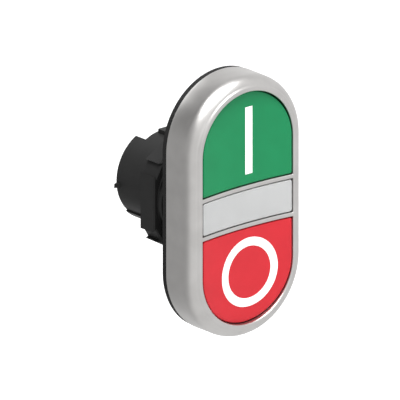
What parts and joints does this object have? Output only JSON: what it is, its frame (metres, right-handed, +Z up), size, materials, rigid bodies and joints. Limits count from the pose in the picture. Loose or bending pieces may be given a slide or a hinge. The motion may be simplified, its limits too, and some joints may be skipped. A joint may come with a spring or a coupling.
{
  "type": "twin push-button head",
  "caption": "Panel-mount twin push-button head: green start button over red stop button, indicator lens between, stadium bezel, barrel and ring nut behind.",
  "frame": {"origin": "on the barrel's axis, in the plane of the panel's front face (the gasket's rear face)", "axes": "+Z up along the head's long side, +Y into the panel along the barrel, so the buttons face -Y; +X to the right seen from the front"},
  "size_m": [0.03, 0.0299, 0.0556],
  "materials": {
    "satin_chrome": "satin",
    "black_nylon": "matte",
    "grey_nylon": "matte",
    "black_rubber": "matte",
    "green_plastic": "satin",
    "red_plastic": "satin",
    "white_plastic": "satin",
    "lens_plastic": "satin",
    "clear_acrylic": "gloss",
    "white_acetal": "satin",
    "blackened_steel": "satin",
    "spring_steel": "satin"
  },
  "bodies": {
    "housing": {"bezel": "satin_chrome", "actuator_body": "black_nylon", "panel_gasket": "black_rubber", "indicator_lens": "lens_plastic", "lens_seal": "black_rubber", "light_guide": "clear_acrylic", "plunger_guide": "grey_nylon", "start_plunger_seal": "black_rubber", "stop_plunger_seal": "black_rubber", "start_return_spring": "spring_steel", "start_balance_spring": "spring_steel", "stop_return_spring": "spring_steel", "stop_balance_spring": "spring_steel"},
    "start_button": {"start_button_cap": "green_plastic", "start_symbol_inlay": "white_plastic", "start_plunger": "white_acetal"},
    "stop_button": {"stop_button_cap": "red_plastic", "stop_symbol_inlay": "white_plastic", "stop_plunger": "white_acetal"},
    "washer": {"anti_rotation_washer": "blackened_steel"},
    "nut": {"ring_nut": "black_nylon"}
  },
  "joints": [
    {"name": "start_press", "type": "slide", "parent": "housing", "child": "start_button", "axis": [0, 1, 0], "range_m": [0, 0.003], "stiffness_N_per_m": 700, "springref_m": -0.003, "deforming": ["start_return_spring", "start_balance_spring"]},
    {"name": "stop_press", "type": "slide", "parent": "housing", "child": "stop_button", "axis": [0, 1, 0], "range_m": [0, 0.003], "stiffness_N_per_m": 700, "springref_m": -0.003, "deforming": ["stop_return_spring", "stop_balance_spring"]},
    {"name": "washer_slide", "type": "slide", "parent": "housing", "child": "washer", "axis": [0, 1, 0], "range_m": [-0.002, 0.003]},
    {"name": "nut_spin", "type": "hinge", "parent": "washer", "child": "nut", "pos_m": [0, 0.006, 0], "axis": [0, 1, 0], "range_deg": [-480, 720]}
  ],
  "couplings": [
    {"joint": "washer_slide", "follows": "nut_spin", "m_per_rad": 0.00023873}
  ]
}
